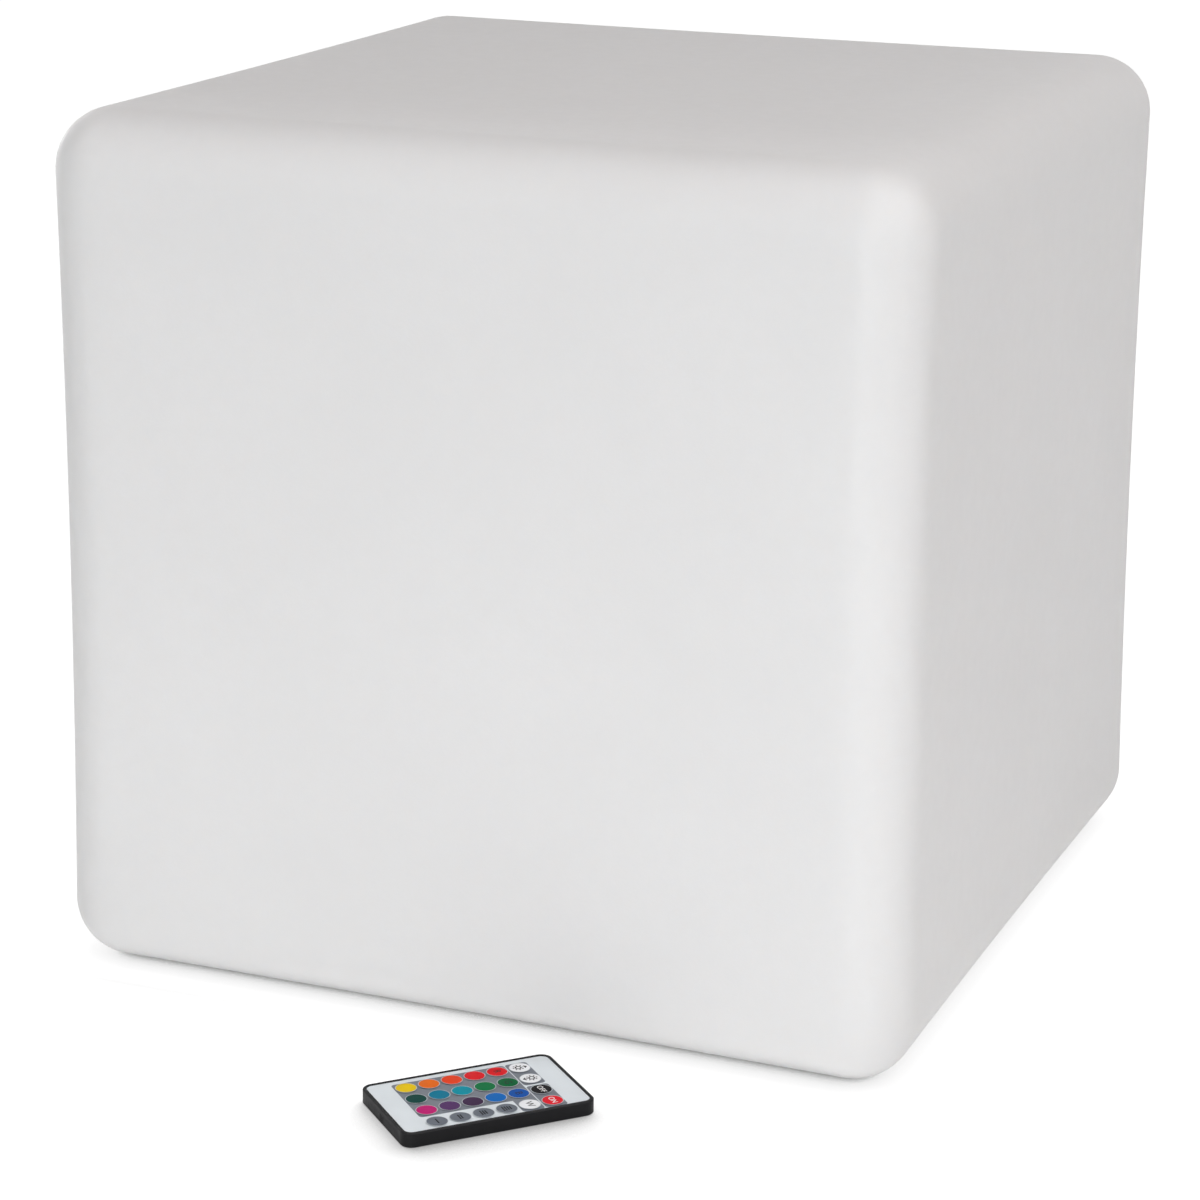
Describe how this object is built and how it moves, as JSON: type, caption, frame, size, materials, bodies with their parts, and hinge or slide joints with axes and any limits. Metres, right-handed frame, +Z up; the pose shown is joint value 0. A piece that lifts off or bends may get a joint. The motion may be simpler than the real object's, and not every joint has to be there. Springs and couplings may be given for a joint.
{
  "type": "led cube light",
  "caption": "Hollow moulded cube that glows from inside, with sunk faces and rounded edges, a lamp unit screwed into a well in its underside, and a thin remote control with colour keys.",
  "frame": {"origin": "on the floor under the middle of the cube's base", "axes": "+Z up; -Y is the cube's wide face in the picture and +X the narrow one; the remote lies in front of -Y"},
  "size_m": [0.4, 0.5119, 0.39],
  "materials": {
    "moulded_skin": "translucent, satin, faintly uneven",
    "module_plastic": "fine matt",
    "frosted_plastic": "frosted, translucent",
    "clear_plastic": "clear",
    "soft_rubber": "matt",
    "steel": "plain",
    "brass_insert": "knurled",
    "white_board": "solder mask",
    "green_board": "solder mask",
    "dark_chip": "matt",
    "lamp_chip": "clear over phosphor",
    "cell_wrap": "shrunk film",
    "dark_plastic": "fine matt",
    "button_plastic": "soft matt",
    "remote_black": "fine matt",
    "remote_label": "printed film",
    "film_yellow": "printed film",
    "film_deep_teal": "printed film",
    "film_magenta": "printed film",
    "film_effect_one": "printed film",
    "film_amber": "printed film",
    "film_teal": "printed film",
    "film_purple": "printed film",
    "film_effect_two": "printed film",
    "film_orange": "printed film",
    "film_cyan": "printed film",
    "film_plum": "printed film",
    "film_effect_three": "printed film",
    "film_scarlet": "printed film",
    "film_emerald": "printed film",
    "film_azure": "printed film",
    "film_effect_four": "printed film",
    "film_red": "printed film",
    "film_green": "printed film",
    "film_blue": "printed film",
    "film_white": "printed film",
    "film_brighter": "printed film",
    "film_dimmer": "printed film",
    "film_off": "printed film",
    "film_on": "printed film"
  },
  "bodies": {
    "cube": {"shell": "moulded_skin", "threaded_inserts": "brass_insert", "module_base": "module_plastic", "module_gasket": "soft_rubber", "flange_screws": "steel", "lamp_cover": "frosted_plastic", "cover_seal": "soft_rubber", "led_board": "white_board", "led_chips": "lamp_chip", "ir_receiver": "dark_chip", "control_board": "green_board", "control_parts": "dark_chip", "battery_pack": "cell_wrap", "battery_straps": "steel", "strap_screws": "steel", "switch_body": "dark_plastic", "charge_socket": "dark_plastic", "pilot_lens": "frosted_plastic"},
    "power_button": {"power_button": "button_plastic"},
    "port_stopper": {"port_stopper": "soft_rubber"},
    "remote": {"remote_case": "remote_black", "remote_face": "remote_label", "snap_domes": "steel", "remote_board": "green_board", "remote_chip": "dark_chip", "ir_emitter": "clear_plastic", "cell_contacts": "steel"},
    "cell_drawer": {"cell_drawer": "remote_black", "coin_cell": "steel"},
    "key_yellow": {"key_yellow": "film_yellow"},
    "key_deep_teal": {"key_deep_teal": "film_deep_teal"},
    "key_magenta": {"key_magenta": "film_magenta"},
    "key_effect_one": {"key_effect_one": "film_effect_one"},
    "key_amber": {"key_amber": "film_amber"},
    "key_teal": {"key_teal": "film_teal"},
    "key_purple": {"key_purple": "film_purple"},
    "key_effect_two": {"key_effect_two": "film_effect_two"},
    "key_orange": {"key_orange": "film_orange"},
    "key_cyan": {"key_cyan": "film_cyan"},
    "key_plum": {"key_plum": "film_plum"},
    "key_effect_three": {"key_effect_three": "film_effect_three"},
    "key_scarlet": {"key_scarlet": "film_scarlet"},
    "key_emerald": {"key_emerald": "film_emerald"},
    "key_azure": {"key_azure": "film_azure"},
    "key_effect_four": {"key_effect_four": "film_effect_four"},
    "key_red": {"key_red": "film_red"},
    "key_green": {"key_green": "film_green"},
    "key_blue": {"key_blue": "film_blue"},
    "key_white": {"key_white": "film_white"},
    "key_brighter": {"key_brighter": "film_brighter"},
    "key_dimmer": {"key_dimmer": "film_dimmer"},
    "key_off": {"key_off": "film_off"},
    "key_on": {"key_on": "film_on"}
  },
  "joints": [
    {"name": "remote_lift", "type": "slide", "parent": "cube", "child": "remote", "axis": [0, 0, 1], "range_m": [0, 0.06]},
    {"name": "button_press", "type": "slide", "parent": "cube", "child": "power_button", "axis": [0, 0, 1], "range_m": [0, 0.0015], "stiffness_N_per_m": 2000, "springref_m": -0.0005},
    {"name": "stopper_pull", "type": "slide", "parent": "cube", "child": "port_stopper", "axis": [0, 0, -1], "range_m": [0, 0.012]},
    {"name": "drawer_slide", "type": "slide", "parent": "remote", "child": "cell_drawer", "axis": [-0.6884, -0.7254, 0], "range_m": [0, 0.024]},
    {"name": "press_yellow", "type": "slide", "parent": "remote", "child": "key_yellow", "axis": [0, 0, -1], "range_m": [0, 0.0003], "stiffness_N_per_m": 1500, "springref_m": -0.0001},
    {"name": "press_deep_teal", "type": "slide", "parent": "remote", "child": "key_deep_teal", "axis": [0, 0, -1], "range_m": [0, 0.0003], "stiffness_N_per_m": 1500, "springref_m": -0.0001},
    {"name": "press_magenta", "type": "slide", "parent": "remote", "child": "key_magenta", "axis": [0, 0, -1], "range_m": [0, 0.0003], "stiffness_N_per_m": 1500, "springref_m": -0.0001},
    {"name": "press_effect_one", "type": "slide", "parent": "remote", "child": "key_effect_one", "axis": [0, 0, -1], "range_m": [0, 0.0003], "stiffness_N_per_m": 1500, "springref_m": -0.0001},
    {"name": "press_amber", "type": "slide", "parent": "remote", "child": "key_amber", "axis": [0, 0, -1], "range_m": [0, 0.0003], "stiffness_N_per_m": 1500, "springref_m": -0.0001},
    {"name": "press_teal", "type": "slide", "parent": "remote", "child": "key_teal", "axis": [0, 0, -1], "range_m": [0, 0.0003], "stiffness_N_per_m": 1500, "springref_m": -0.0001},
    {"name": "press_purple", "type": "slide", "parent": "remote", "child": "key_purple", "axis": [0, 0, -1], "range_m": [0, 0.0003], "stiffness_N_per_m": 1500, "springref_m": -0.0001},
    {"name": "press_effect_two", "type": "slide", "parent": "remote", "child": "key_effect_two", "axis": [0, 0, -1], "range_m": [0, 0.0003], "stiffness_N_per_m": 1500, "springref_m": -0.0001},
    {"name": "press_orange", "type": "slide", "parent": "remote", "child": "key_orange", "axis": [0, 0, -1], "range_m": [0, 0.0003], "stiffness_N_per_m": 1500, "springref_m": -0.0001},
    {"name": "press_cyan", "type": "slide", "parent": "remote", "child": "key_cyan", "axis": [0, 0, -1], "range_m": [0, 0.0003], "stiffness_N_per_m": 1500, "springref_m": -0.0001},
    {"name": "press_plum", "type": "slide", "parent": "remote", "child": "key_plum", "axis": [0, 0, -1], "range_m": [0, 0.0003], "stiffness_N_per_m": 1500, "springref_m": -0.0001},
    {"name": "press_effect_three", "type": "slide", "parent": "remote", "child": "key_effect_three", "axis": [0, 0, -1], "range_m": [0, 0.0003], "stiffness_N_per_m": 1500, "springref_m": -0.0001},
    {"name": "press_scarlet", "type": "slide", "parent": "remote", "child": "key_scarlet", "axis": [0, 0, -1], "range_m": [0, 0.0003], "stiffness_N_per_m": 1500, "springref_m": -0.0001},
    {"name": "press_emerald", "type": "slide", "parent": "remote", "child": "key_emerald", "axis": [0, 0, -1], "range_m": [0, 0.0003], "stiffness_N_per_m": 1500, "springref_m": -0.0001},
    {"name": "press_azure", "type": "slide", "parent": "remote", "child": "key_azure", "axis": [0, 0, -1], "range_m": [0, 0.0003], "stiffness_N_per_m": 1500, "springref_m": -0.0001},
    {"name": "press_effect_four", "type": "slide", "parent": "remote", "child": "key_effect_four", "axis": [0, 0, -1], "range_m": [0, 0.0003], "stiffness_N_per_m": 1500, "springref_m": -0.0001},
    {"name": "press_red", "type": "slide", "parent": "remote", "child": "key_red", "axis": [0, 0, -1], "range_m": [0, 0.0003], "stiffness_N_per_m": 1500, "springref_m": -0.0001},
    {"name": "press_green", "type": "slide", "parent": "remote", "child": "key_green", "axis": [0, 0, -1], "range_m": [0, 0.0003], "stiffness_N_per_m": 1500, "springref_m": -0.0001},
    {"name": "press_blue", "type": "slide", "parent": "remote", "child": "key_blue", "axis": [0, 0, -1], "range_m": [0, 0.0003], "stiffness_N_per_m": 1500, "springref_m": -0.0001},
    {"name": "press_white", "type": "slide", "parent": "remote", "child": "key_white", "axis": [0, 0, -1], "range_m": [0, 0.0003], "stiffness_N_per_m": 1500, "springref_m": -0.0001},
    {"name": "press_brighter", "type": "slide", "parent": "remote", "child": "key_brighter", "axis": [0, 0, -1], "range_m": [0, 0.0003], "stiffness_N_per_m": 1500, "springref_m": -0.0001},
    {"name": "press_dimmer", "type": "slide", "parent": "remote", "child": "key_dimmer", "axis": [0, 0, -1], "range_m": [0, 0.0003], "stiffness_N_per_m": 1500, "springref_m": -0.0001},
    {"name": "press_off", "type": "slide", "parent": "remote", "child": "key_off", "axis": [0, 0, -1], "range_m": [0, 0.0003], "stiffness_N_per_m": 1500, "springref_m": -0.0001},
    {"name": "press_on", "type": "slide", "parent": "remote", "child": "key_on", "axis": [0, 0, -1], "range_m": [0, 0.0003], "stiffness_N_per_m": 1500, "springref_m": -0.0001}
  ]
}
